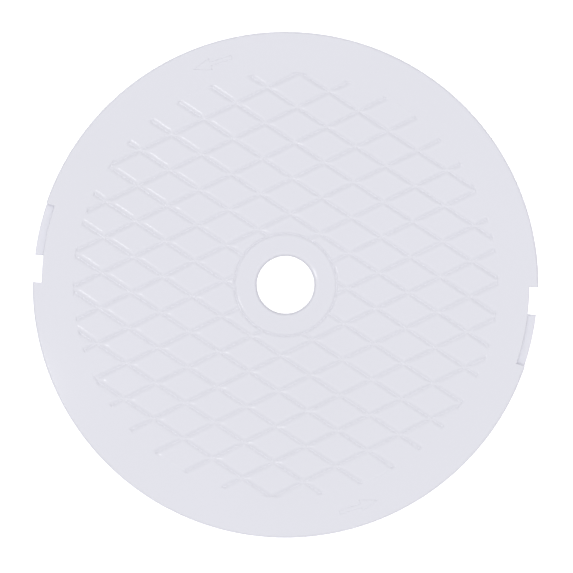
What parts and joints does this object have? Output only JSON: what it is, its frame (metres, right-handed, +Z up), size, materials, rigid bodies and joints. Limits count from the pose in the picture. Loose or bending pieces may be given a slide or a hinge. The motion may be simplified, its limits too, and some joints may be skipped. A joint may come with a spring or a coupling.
{
  "type": "twist-lock deck lid",
  "caption": "Round white plastic deck lid with an engraved diamond tread, a centre finger hole, twist-lock notches and ledges at the edge, and a ribbed underside with a locating skirt.",
  "frame": {"origin": "centre of the lid at the skirt's lower edge, the plane it rests on", "axes": "+Z up through the finger hole to the walking surface; X runs through the two lock notches, right notch on +X"},
  "size_m": [0.2496, 0.25, 0.0162],
  "materials": {
    "lid_gloss": "glossy cool white ABS, as moulded, with a faint ripple",
    "lid_satin": "satin cool white ABS, the plainer underside of the same moulding"
  },
  "bodies": {
    "root": {"deck_plate": "lid_gloss", "finger_hole_boss": "lid_gloss", "rim_band": "lid_gloss", "lock_ledge_right": "lid_gloss", "lock_ledge_left": "lid_gloss", "turn_arrow_top": "lid_gloss", "turn_arrow_bottom": "lid_gloss", "locating_skirt": "lid_satin", "inner_ring_rib": "lid_satin", "outer_ring_rib": "lid_satin", "radial_rib_01": "lid_satin", "radial_rib_02": "lid_satin", "radial_rib_03": "lid_satin", "radial_rib_04": "lid_satin", "radial_rib_05": "lid_satin", "radial_rib_06": "lid_satin", "radial_rib_07": "lid_satin", "radial_rib_08": "lid_satin", "radial_rib_09": "lid_satin", "radial_rib_10": "lid_satin", "radial_rib_11": "lid_satin", "radial_rib_12": "lid_satin"}
  },
  "joints": []
}
